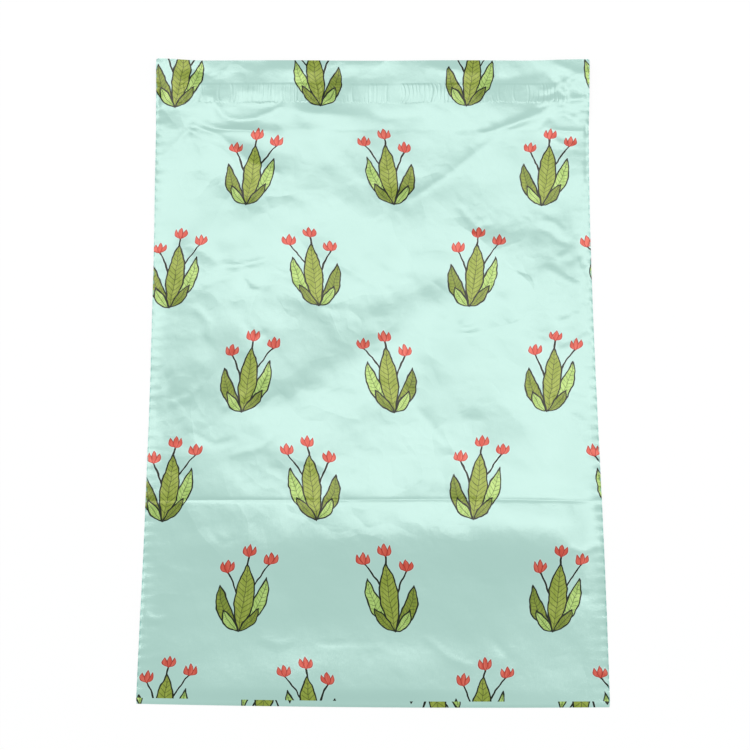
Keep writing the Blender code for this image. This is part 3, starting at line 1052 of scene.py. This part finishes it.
class Value:
    """A number that varies over a surface. Every sum with it adds a Math node."""

    def __init__(self, graph: Graph, socket: bpy.types.NodeSocket) -> None:
        """Wrap a socket."""
        self.graph = graph
        self.socket = socket

    def __add__(self, other: "Value | float") -> "Value":
        """Sum."""
        return self.graph.math("ADD", self, other)

    def __sub__(self, other: "Value | float") -> "Value":
        """Difference."""
        return self.graph.math("SUBTRACT", self, other)

    def __rsub__(self, other: float) -> "Value":
        """Difference, the other way round."""
        return self.graph.math("SUBTRACT", other, self)

    def __mul__(self, other: "Value | float") -> "Value":
        """Product."""
        return self.graph.math("MULTIPLY", self, other)

    def __truediv__(self, other: float) -> "Value":
        """Quotient by a plain number."""
        return self.graph.math("MULTIPLY", self, 1.0 / other)

    def __abs__(self) -> "Value":
        """Size without sign."""
        return self.graph.math("ABSOLUTE", self)

    def least(self, other: "Value | float") -> "Value":
        """The lesser of two numbers."""
        return self.graph.math("MINIMUM", self, other)

    def most(self, other: "Value | float") -> "Value":
        """The greater of two numbers."""
        return self.graph.math("MAXIMUM", self, other)

    def floor(self) -> "Value":
        """Whole part."""
        return self.graph.math("FLOOR", self)

    def part(self) -> "Value":
        """What is left above the whole part."""
        return self.graph.math("FRACT", self)

    def sine(self) -> "Value":
        """Sine, of radians."""
        return self.graph.math("SINE", self)

    def power(self, exponent: float) -> "Value":
        """Power of a number that isn't negative."""
        return self.graph.math("POWER", self, exponent)

    def held(self) -> "Value":
        """The number held between 0 and 1."""
        return self.graph.math("ADD", self, 0.0).clamped()

    def clamped(self) -> "Value":
        """Turn on the clamp of the node that made this number."""
        self.socket.node.use_clamp = True
        return self

    def ramp(self, start: float, end: float) -> "Value":
        """Straight ramp from 0 at start to 1 at end, held outside them."""
        scale = 1.0 / (end - start)
        return self.graph.math("MULTIPLY_ADD", self, scale, -start * scale).clamped()


class Leaf(NamedTuple):
    """A pointed leaf or petal: its base and tip, half width and bend, in millimetres."""

    base: tuple[float, float]
    tip: tuple[float, float]
    half: float
    bend: float


class Ink(Enum):
    """Inks of the print, as linear colours."""

    OLIVE = (0.225, 0.290, 0.034)
    OLIVE_DEEP = (0.155, 0.215, 0.024)
    OLIVE_PALE = (0.290, 0.360, 0.058)
    GREEN = (0.310, 0.475, 0.110)
    GREEN_PALE = (0.410, 0.585, 0.175)
    CORAL = (0.530, 0.066, 0.040)
    CORAL_PALE = (0.610, 0.125, 0.085)
    CORAL_LINE = (0.330, 0.028, 0.018)
    LINE = (0.006, 0.011, 0.003)
    HALO = (0.470, 0.665, 0.620)


@dataclass(frozen=True)
class Sprig:
    """The printed motif, in millimetres: a leafy sprig with three buds, in brick rows over the web."""

    row_pitch: float = 61.0
    column_pitch: float = 85.0
    row_start: float = -29.0
    column_start: float = 12.0
    foot: float = 5.0
    lean: float = 0.10
    shake: float = 2.2
    shake_scale: float = 0.16
    line: float = 0.42
    thin_line: float = 0.22
    halo: float = 0.55
    soft: float = 0.16
    stem_half: float = 0.35
    stem_slant: float = 0.9
    stem_power: float = 1.7
    stem_reach: float = 0.5
    stem_bleed: float = 0.15
    brush_across: float = 0.9
    brush_along: float = 0.13
    vein_count: float = 13.0
    vein_slant: float = 0.30
    vein_ink: float = 0.75
    rib_half: float = 0.16
    rib_ink: float = 0.8
    leaves: tuple[tuple[Leaf, Ink, Ink], ...] = (
        (Leaf((-0.6, 1.0), (-12.6, 25.0), 3.6, -2.6), Ink.OLIVE_DEEP, Ink.OLIVE),
        (Leaf((0.6, 1.0), (12.4, 29.0), 3.6, 2.8), Ink.GREEN, Ink.GREEN_PALE),
        (Leaf((0.0, 0.0), (1.2, 37.0), 5.0, 0.8), Ink.OLIVE, Ink.OLIVE_PALE),
        (Leaf((-0.4, 0.2), (-9.4, 11.5), 2.4, -1.0), Ink.GREEN, Ink.GREEN_PALE),
        (Leaf((0.4, 0.2), (9.8, 12.5), 2.5, 1.0), Ink.OLIVE_DEEP, Ink.OLIVE),
    )
    buds: tuple[tuple[float, float], ...] = ((1.4, 41.0), (-9.6, 32.5), (13.4, 36.5))
    stem_feet: tuple[tuple[float, float], ...] = ((0.6, 20.0), (-0.8, 9.0), (0.8, 9.0))
    outer_petal: Leaf = Leaf((0.0, 0.0), (3.0, 5.4), 1.25, 1.0)
    inner_petal: Leaf = Leaf((0.0, -0.4), (0.0, 6.6), 1.45, 0.0)

    def leaf_field(self, x: Value, y: Value, leaf: Leaf) -> tuple[Value, Value, Value]:
        """Signed size of a leaf, with the place along and across it.

        The place is turned into the leaf's own axes, along it from 0 to 1 and across it. Its bend
        shifts the middle line by a parabola, and its half width is a parabola too, so both ends
        are pointed. The size is the distance across minus the half width.

        Args:
            x: Place across the motif.
            y: Place up the motif.
            leaf: The leaf.

        Returns:
            The signed size, the place along as a share, and the distance across.
        """
        run_x, run_y = leaf.tip[0] - leaf.base[0], leaf.tip[1] - leaf.base[1]
        length = math.hypot(run_x, run_y)
        cos, sin = run_x / length, run_y / length
        from_x, from_y = x - leaf.base[0], y - leaf.base[1]
        along = (from_x * cos + from_y * sin) / length
        hump = along * (1.0 - along) * 4.0
        across = from_y * cos - from_x * sin + hump * leaf.bend
        size = abs(across) - hump * leaf.half
        beyond = (abs(along - 0.5) - 0.5) * length
        return size.most(beyond), along, across

    def stem_field(self, x: Value, y: Value, foot: tuple[float, float], bud: tuple[float, float]) -> Value:
        """Signed size of a thin stem that leaves its foot upright and bends out to its bud."""
        head = bud[1] + self.stem_reach
        share = ((y - foot[1]) / (head - foot[1])).held()
        middle = share.power(self.stem_power) * (bud[0] - foot[0]) + foot[0]
        beyond = abs(y - 0.5 * (foot[1] + head)) - 0.5 * (head - foot[1])
        return (abs(x - middle) * self.stem_slant - self.stem_half).most(beyond)

    def paint(self, graph: Graph, u: Value, v: Value, ground: bpy.types.NodeSocket) -> bpy.types.NodeSocket:
        """Lay the motif over the ground colour.

        The map's place is shaken a little by noise, cut into brick rows, mirrored from cell to cell
        and leaned. Halo, stems, leaves and buds are then laid over each other.

        Args:
            graph: The material's tree.
            u: Place across the web, in millimetres.
            v: Place along the web, in millimetres.
            ground: Colour of the bare print.

        Returns:
            The colour with the motif on it.
        """
        shake_u, shake_v, _ = graph.drift(u, v, self.shake_scale, 1.5)
        level = (v + (shake_v - 0.5) * self.shake - self.row_start) / self.row_pitch
        row = level.floor()
        place = (u + (shake_u - 0.5) * self.shake - self.column_start) / self.column_pitch
        place = place + (row * 0.5).part()
        column = place.floor()
        mirror = 1.0 - ((row + column) * 0.5).part() * 4.0
        y = level.part() * self.row_pitch - self.foot
        x = (place.part() - 0.5) * self.column_pitch * mirror - y * self.lean

        stroke = graph.vector(x * self.brush_across, y * self.brush_along, column + row * 3.1)
        brush = graph.noise(stroke, 1.0, 2.0)
        leaves = [self.leaf_field(x, y, leaf) for leaf, _, _ in self.leaves]
        stems = [self.stem_field(x, y, foot, bud) for foot, bud in zip(self.stem_feet, self.buds)]
        petals = [petal for bud in self.buds for petal in self.bud_fields(x, y, bud)]
        outline = reduce(Value.least, [leaf[0] for leaf in leaves] + stems + petals)
        colour = graph.mix(self.mask(outline - self.halo), ground, Ink.HALO.value)
        for stem in stems:
            colour = graph.mix(self.mask(stem - self.stem_bleed), colour, Ink.LINE.value)
        for field_of_leaf, (_, dark, pale) in zip(leaves, self.leaves):
            tone = graph.mix(brush.ramp(0.36, 0.64), dark.value, pale.value)
            colour = self.paint_leaf(graph, colour, field_of_leaf, tone)
        tone = graph.mix(brush.ramp(0.40, 0.62), Ink.CORAL.value, Ink.CORAL_PALE.value)
        for petal in petals:
            colour = graph.mix(self.mask(petal), colour, tone)
            rim = self.mask(abs(petal + 0.1) - self.thin_line)
            colour = graph.mix(rim, colour, Ink.CORAL_LINE.value)
        return colour

    def bud_fields(self, x: Value, y: Value, bud: tuple[float, float]) -> tuple[Value, Value]:
        """Signed sizes of a bud's two outer petals, as one mirrored field, and of its middle petal."""
        from_x, from_y = x - bud[0], y - bud[1]
        outer, _, _ = self.leaf_field(abs(from_x), from_y, self.outer_petal)
        inner, _, _ = self.leaf_field(from_x, from_y, self.inner_petal)
        return outer, inner

    def paint_leaf(self, graph: Graph, colour: Any, leaf: tuple[Value, Value, Value], tone: Any) -> Any:
        """Lay one leaf: brushed fill, veins that branch from the middle rib, and a dark outline."""
        size, along, across = leaf
        slant = (along * self.vein_count - abs(across) * self.vein_slant).part()
        vein = self.mask(abs(slant - 0.5) * 3.0 - 0.20) * (size * -1.0).ramp(0.5, 0.9) * self.vein_ink
        rib = self.mask(abs(across) - self.rib_half) * self.rib_ink
        colour = graph.mix(self.mask(size), colour, tone)
        colour = graph.mix(self.mask(size) * vein.most(rib), colour, Ink.LINE.value)
        return graph.mix(self.mask(abs(size) - self.line), colour, Ink.LINE.value)

    def mask(self, size: Value) -> Value:
        """1 where a signed size is below 0, 0 above it, over a soft edge."""
        return size.ramp(0.5 * self.soft, -0.5 * self.soft)


@dataclass(frozen=True)
class FilmRelief:
    """Relief of the film that is too fine for its mesh, in millimetres."""

    warp: float = 9.0
    warp_size: float = 34.0
    folds: tuple[tuple[float, float], ...] = ((46.0, 0.034), (21.0, 0.027), (9.5, 0.019))
    fold_gain: float = 1.7
    patch_size: float = 62.0
    mottle: float = 0.026
    mottle_size: float = 4.5
    dent_pitch: float = 21.0
    dent_lift: float = 0.16
    dent_least: float = 3.0
    dent_spread: float = 6.0
    dent_width: float = 3.4
    dent_steepness: float = 3.2
    grain: float = 0.0018
    band_end: float = 9.5
    band_lift: float = 0.065
    line_pitch: float = 2.3
    line_half: float = 0.55
    line_lift: float = 0.10
    line_bow: float = 24.0
    cell_pitch: float = 9.0
    cell_lift: float = 0.15
    tooth_pitch: float = 1.7
    tooth_reach: float = 0.8

    def folds_height(self, graph: Graph, x: Value, y: Value) -> Value:
        """Curved crease lines at three sizes: the distance of warped noise from its middle level.

        Each is a field of V-shaped valleys along the level line. Its lift is its size times a slope,
        and the sign changes from size to size, so ridges and valleys mix.
        """
        warp_x, warp_y, _ = graph.drift(x, y, 1.0 / self.warp_size, 1.0)
        across, along = x + (warp_x - 0.5) * self.warp, y + (warp_y - 0.5) * self.warp
        patch = graph.noise(graph.vector(x, y, 70.0), 1.0 / self.patch_size, 1.0).ramp(0.40, 0.60)
        heights = []
        for number, (size, slope) in enumerate(self.folds):
            level = graph.noise(graph.vector(across, along, 31.0 * number), 1.0 / size, 0.6) - 0.5
            sign = 1.0 if number % 2 else -1.0
            heights.append(abs(level) * (sign * size * slope * self.fold_gain))
        return reduce(Value.__add__, heights) * (patch * 0.75 + 0.25)

    def dents_height(self, graph: Graph, x: Value, y: Value) -> Value:
        """Crescent dents: one in each drawn cell, a part of a ring with one steep and one long side."""
        inputs = {"Vector": graph.vector(x, y), "Scale": 1.0 / self.dent_pitch}
        cell = graph.node("ShaderNodeTexVoronoi", {"voronoi_dimensions": "2D"}, inputs)
        centre_x, centre_y, _ = graph.split(cell.outputs["Position"])
        first, second, third = graph.split(cell.outputs["Color"])
        from_x, from_y = x - centre_x * self.dent_pitch, y - centre_y * self.dent_pitch
        reach = (from_x * from_x + from_y * from_y + 0.01).power(0.5)
        turn = first * (2.0 * math.pi)
        facing = from_x * turn.sine() + from_y * (turn + 0.5 * math.pi).sine()
        ring = reach - (second * self.dent_spread + self.dent_least)
        steep = ring.most(ring * -self.dent_steepness)
        arc = (facing - reach * 0.62).ramp(0.0, 1.6)
        return (1.0 - steep / self.dent_width).held() * arc * (third - 0.5) * (2.0 * self.dent_lift)

    def band_height(self, graph: Graph, form: FilmForm, x: Value, y: Value) -> Value:
        """Ripples over the glue band: upright lines, raised cells between some, a scalloped low edge."""
        glue_low, glue_high = form.glue_low / MM, form.glue_high / MM
        off_middle = (y - glue_low) / (glue_high - glue_low) - 0.5
        bend = graph.noise(graph.vector(x, 0.0, 5.0), 0.09, 1.0) - 0.5
        along = x + off_middle * off_middle * bend * self.line_bow
        near_line = graph.borders(along, self.line_pitch)
        near_cell = graph.borders(along, self.cell_pitch)
        near_tooth = graph.borders(along, self.tooth_pitch)
        inputs = {"W": along, "Scale": 1.0 / self.cell_pitch}
        cell = graph.node("ShaderNodeTexVoronoi", {"voronoi_dimensions": "1D"}, inputs)
        drawn, _, _ = graph.split(cell.outputs["Color"])
        strength = graph.noise(graph.vector(x, y * 0.5, 40.0), 0.085, 1.0).ramp(0.46, 0.60)
        ridges = (1.0 - near_line / self.line_half).held() * strength * self.line_lift
        rims = (1.0 - near_cell).held() * 0.6 + near_cell.ramp(0.3, 2.6) * (drawn - 0.35)
        scallop = near_tooth.ramp(0.0, self.tooth_reach) * 0.8 + near_cell.ramp(0.0, 3.0) * 0.6
        low = (y + scallop).ramp(glue_low, glue_low + 0.8)
        high = y.ramp(glue_high + 0.5, glue_high - 0.9)
        ends = (0.5 * form.width / MM - abs(x)).ramp(self.band_end, self.band_end + 5.0)
        return (ridges + rims * self.cell_lift + self.band_lift) * low * high * ends

    def height(self, graph: Graph, form: FilmForm, x: Value, y: Value, inset: Value) -> Value:
        """Sum of all the fine relief, calmer below the packing crease and nearly flat in the welds."""
        crease = form.crease_height / MM
        calm = y.ramp(crease - 30.0, crease + 8.0) * 0.6 + 0.4
        open_film = inset.ramp(0.5, 4.0) * 0.8 + 0.2
        edges = inset.ramp(26.0, 6.0) * 0.9 + 1.0
        flat = graph.vector(x, y)
        mottle = graph.noise(flat, 1.0 / self.mottle_size, 2.5) * (self.mottle * self.mottle_size * 0.5)
        grain = graph.noise(flat, 3.0, 2.0) * (self.grain * 10.0)
        crumple = self.folds_height(graph, x, y) + self.dents_height(graph, x, y) * edges
        return crumple * calm * open_film + mottle + grain + self.band_height(graph, form, x, y)


@dataclass(frozen=True)
class PrintedFilm:
    """Satin finish of the outer side: mint print with a faint pearl sheen, and darker teal nips in the welds
    that are partly print darkened by the weld's heat and partly painted shade of the weld's tiny folds.
    """

    mint: Colour = (0.392, 0.600, 0.542)
    mint_pale: Colour = (0.406, 0.614, 0.556)
    # Teal of the weld nips: partly print darkened where the weld melted it, partly painted shade of the tiny
    # folds between the puckers.
    weld_melt_and_shade_teal: Colour = (0.180, 0.420, 0.380)
    roughness: float = 0.215
    pearl: float = 0.12
    gloss: float = 0.28
    matte: float = 0.08
    weld_reach: float = 0.9
    weld_pitch: float = 5.7
    weld_melt_and_shade_ink: float = 0.75

    def material(self, form: FilmForm) -> bpy.types.Material:
        """Make the material.

        Args:
            form: The film's form, for the places of its edges.

        Returns:
            The material, which reads the film's two maps and Object coordinates.
        """
        graph = Graph("printed_film")
        u, v = graph.chart("film_print")
        inset, along = graph.chart("weld_chart")
        place = graph.place()
        x, y = graph.bag_place(form)

        cloud = graph.noise(place, 14.0, 3.0)
        ground = graph.mix(cloud.ramp(0.35, 0.65), self.mint, self.mint_pale)
        colour = Sprig().paint(graph, u, v, ground)

        # Darker teal dashes along the welds at the pucker pitch: partly print darkened where the weld melted
        # it, partly painted shade of the tiny folds between the puckers.
        beat = graph.noise(graph.vector(0.0, along, x * 0.01), 0.5, 1.0)
        dash = ((along / self.weld_pitch).part() + (beat - 0.5) * 0.5).ramp(0.52, 0.60)
        nip = dash * inset.ramp(self.weld_reach, 0.2) * self.weld_melt_and_shade_ink
        colour = graph.mix(nip, colour, self.weld_melt_and_shade_teal)

        height = FilmRelief().height(graph, form, x, y, inset)
        matte = graph.noise(place, 45.0, 2.0) - 0.5
        return graph.finish(
            Base_Color=colour,
            Roughness=matte * self.matte + self.roughness,
            Metallic=self.pearl,
            IOR=POLYETHYLENE_IOR,
            Specular_IOR_Level=self.gloss,
            Normal=graph.bump(height, MM),
        )


@dataclass(frozen=True)
class InnerFilm:
    """Plain grey inner side of the film."""

    grey: Colour = (0.200, 0.205, 0.210)
    grey_pale: Colour = (0.260, 0.265, 0.270)
    roughness: float = 0.42
    matte: float = 0.12
    grain: float = 0.05 * MM

    def material(self) -> bpy.types.Material:
        """Make the material: cloudy grey with fine grain."""
        graph = Graph("inner_film")
        place = graph.place()
        colour = graph.mix(graph.noise(place, 60.0, 3.0).ramp(0.3, 0.7), self.grey, self.grey_pale)
        rough = (graph.noise(place, 80.0, 2.0) - 0.5) * self.matte + self.roughness
        normal = graph.bump(graph.noise(place, 500.0, 3.0), self.grain, 0.5)
        return graph.finish(Base_Color=colour, Roughness=rough, IOR=POLYETHYLENE_IOR, Normal=normal)


@dataclass(frozen=True)
class GlueFinish:
    """Tacky hot-melt glue: pale amber, glossy, drawn out in streaks across the flap."""

    amber: Colour = (0.620, 0.560, 0.380)
    amber_pale: Colour = (0.740, 0.700, 0.560)
    roughness: float = 0.16
    matte: float = 0.12
    grain: float = 0.12 * MM
    index: float = 1.48
    stretch: tuple[float, float, float] = (30.0, 600.0, 1.0)

    def material(self) -> bpy.types.Material:
        """Make the material: streaks along X, and bubbles from a finer noise."""
        graph = Graph("hot_melt_glue")
        place = graph.place()
        stretched = graph.node("ShaderNodeMapping", {}, {"Vector": place, "Scale": self.stretch})
        streak = graph.noise(stretched.outputs[0], 1.0, 3.0)
        bubble = graph.noise(place, 420.0, 2.0)
        colour = graph.mix((streak * 0.6 + bubble * 0.4).ramp(0.35, 0.65), self.amber, self.amber_pale)
        rough = bubble * self.matte + self.roughness
        normal = graph.bump(streak + bubble * 0.6, self.grain, 0.8)
        return graph.finish(Base_Color=colour, Roughness=rough, IOR=self.index, Normal=normal)


@dataclass(frozen=True)
class LinerFinish:
    """Milky release film, a little darker where the glue lies behind it."""

    milk: Colour = (0.780, 0.800, 0.800)
    behind: Colour = (0.620, 0.630, 0.600)
    roughness: float = 0.28
    matte: float = 0.14
    grain: float = 0.2 * MM
    index: float = 1.46
    blur: float = 0.3

    def material(self, form: FilmForm) -> bpy.types.Material:
        """Make the material.

        Args:
            form: The film's form, for the place of the glue behind the liner.

        Returns:
            The material, which reads Object coordinates.
        """
        graph = Graph("liner_film")
        x, y = graph.bag_place(form)
        ragged = y + graph.noise(graph.vector(x * 0.5, y * 0.2), 1.0, 2.0) * 1.6 - 0.8
        low, high, end = form.glue_low / MM, form.glue_high / MM, form.glue_end / MM
        band = ragged.ramp(low - self.blur, low + self.blur) * ragged.ramp(high + self.blur, high - self.blur)
        ends = (0.5 * form.width / MM - abs(x)).ramp(end - 0.5, end + 0.5)
        blot = graph.noise(graph.vector(x * 0.8, y * 0.12), 1.0, 3.0)
        colour = graph.mix(band * ends * (blot * 0.6 + 0.6), self.milk, self.behind)
        height = graph.noise(graph.vector(x * 0.35, y * 0.08), 1.0, 3.0)
        rough = (blot - 0.5) * self.matte + self.roughness
        normal = graph.bump(height, self.grain, 0.7)
        return graph.finish(Base_Color=colour, Roughness=rough, IOR=self.index, Normal=normal)


def camera_sees(tree: bpy.types.NodeTree, lit: bpy.types.Node, shown: bpy.types.Node, share: float) -> Any:
    """Mix two shaders: camera rays get a share of the second, all other rays the first alone.

    Args:
        tree: The node tree that both shaders are in.
        lit: The shader that lights the scene or takes its light.
        shown: The plain shader for camera rays.
        share: How much of it they get, from 0 to 1.

    Returns:
        The mixed shader's socket.
    """
    path = tree.nodes.new("ShaderNodeLightPath")
    seen = tree.nodes.new("ShaderNodeMath")
    seen.operation = "MULTIPLY"
    seen.inputs[1].default_value = share
    mixed = tree.nodes.new("ShaderNodeMixShader")
    tree.links.new(path.outputs["Is Camera Ray"], seen.inputs[0])
    for number, source in enumerate((seen, lit, shown)):
        tree.links.new(source.outputs[0], mixed.inputs[number])
    return mixed.outputs[0]


@dataclass(frozen=True)
class Studio:
    """Plain pale floor, soft light and the camera."""

    lens: float = 86.4
    sensor: float = 36.0
    tilt: float = 14.53
    distance: float = 1.010
    look_x: float = 0.0011
    look_y: float = -0.00315
    window_place: tuple[float, float, float] = (0.041, 0.996, 2.87)
    window_aim: tuple[float, float, float] = (-0.236, 0.071, 0.0)
    window_size: tuple[float, float] = (3.7, 1.00)
    window_power: float = 48.5
    window_colour: Colour = (1.0, 0.88, 0.90)
    floor_half: float = 3.0
    floor_drop: float = 0.02 * MM
    floor_grey: float = 0.95
    floor_glow: float = 0.84
    sky: float = 0.720
    sky_colour: Colour = (0.915, 1.0, 0.985)

    def place(
        self, name: str, data: bpy.types.ID, spot: Sequence[float], turn: Sequence[float]
    ) -> bpy.types.Object:
        """Put a camera or a lamp at a spot, turned by the given angles."""
        made = bpy.data.objects.new(name, data)
        made.location = spot
        made.rotation_euler = turn
        bpy.context.scene.collection.objects.link(made)
        return made

    def camera(self) -> None:
        """Place the camera: it looks down, tilted from the plumb line towards the flap."""
        turn = math.radians(self.tilt)
        data = bpy.data.cameras.new("camera")
        data.lens = self.lens
        data.sensor_width = self.sensor
        data.clip_start = 10.0 * MM
        spot = (self.look_x, self.look_y - self.distance * math.sin(turn), self.distance * math.cos(turn))
        bpy.context.scene.camera = self.place("camera", data, spot, (turn, 0.0, 0.0))

    def window(self) -> None:
        """Hang the one large lamp beyond the flap, where the film above the packing crease mirrors it."""
        data = bpy.data.lights.new("window", "AREA")
        data.shape = "RECTANGLE"
        data.size, data.size_y = self.window_size
        data.energy = self.window_power
        data.color = self.window_colour
        run = np.subtract(self.window_aim, self.window_place)
        away = run / np.linalg.norm(run)
        turn = (math.acos(-away[2]), 0.0, math.atan2(-away[0], away[1]))
        self.place("window", data, self.window_place, turn)

    def world(self) -> None:
        """Set an even sky, which the camera sees as plain white."""
        world = bpy.data.worlds.new("sky")
        world.use_nodes = True
        bpy.context.scene.world = world
        tree = world.node_tree
        light, plain = tree.nodes["Background"], tree.nodes.new("ShaderNodeBackground")
        for node, colour, strength in ((light, self.sky_colour, self.sky), (plain, WHITE, 1.0)):
            node.inputs[0].default_value = (*colour, 1.0)
            node.inputs[1].default_value = strength
        tree.links.new(camera_sees(tree, light, plain, 1.0), tree.nodes["World Output"].inputs[0])

    def floor(self) -> bpy.types.Object:
        """Lay the floor: white to the camera, with the object's shadow kept faintly on it."""
        half = self.floor_half
        corners = [(-half, -half), (half, -half), (half, half), (-half, half)]
        data = bpy.data.meshes.new("floor")
        data.from_pydata([(x, y, -self.floor_drop) for x, y in corners], [], [(0, 1, 2, 3)])
        material = bpy.data.materials.new("floor")
        material.use_nodes = True
        tree = material.node_tree
        tree.nodes.clear()
        lit, glow = tree.nodes.new("ShaderNodeBsdfDiffuse"), tree.nodes.new("ShaderNodeEmission")
        lit.inputs[0].default_value = (self.floor_grey,) * 3 + (1.0,)
        glow.inputs[0].default_value = (*WHITE, 1.0)
        glow.inputs[1].default_value = 1.0
        output = tree.nodes.new("ShaderNodeOutputMaterial")
        tree.links.new(camera_sees(tree, lit, glow, self.floor_glow), output.inputs[0])
        data.materials.append(material)
        return add_piece(data)


@dataclass
class MailerBag:
    """The whole bag: the film web, the glue band on the flap's inner side and the liner on it."""

    form: FilmForm = field(default_factory=FilmForm)

    def film(self, dressed: DressedFilm) -> bpy.types.Object:
        """Build and dress the film web."""
        piece = FilmWeb(dressed).build()
        piece.data.materials.append(PrintedFilm().material(self.form))
        piece.data.materials.append(InnerFilm().material())
        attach(piece, "root")
        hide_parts("film_body")
        return piece

    def glue(self, dressed: DressedFilm) -> bpy.types.Object:
        """Build and dress the glue band."""
        form = self.form
        drop = form.film + form.joint_gap
        piece = Band(
            dressed, "glue_band", form.glue_low, form.glue_high, form.glue_end, drop, form.glue
        ).build()
        piece.data.materials.append(GlueFinish().material())
        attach(piece, "root")
        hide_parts("adhesive_strip")
        return piece

    def liner(self, dressed: DressedFilm) -> bpy.types.Object:
        """Build and dress the release liner."""
        form = self.form
        drop = form.film + form.glue + 2.0 * form.joint_gap
        waver = 0.03 * MM
        piece = Band(
            dressed, "liner", form.liner_low, form.liner_high, form.liner_end, drop, form.liner, waver=waver
        ).build()
        piece.data.materials.append(LinerFinish().material(form))
        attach(piece, "root")
        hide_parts("release_liner")
        size = (form.width - 2.0 * form.liner_end, form.liner_high - form.liner_low)
        return piece

    def build(self) -> list[bpy.types.Object]:
        """Build every piece and return them."""
        dressed = DressedFilm(self.form)
        return [self.film(dressed), self.glue(dressed), self.liner(dressed)]


def main() -> None:
    """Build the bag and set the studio."""
    logging.basicConfig(level=logging.INFO, format="%(name)s: %(message)s")
    for piece in MailerBag().build():
        report(piece)
    studio = Studio()
    studio.floor()
    studio.world()
    studio.window()
    studio.camera()
    bpy.context.scene.view_settings.view_transform = "Standard"


if __name__ == "__main__":
    main()
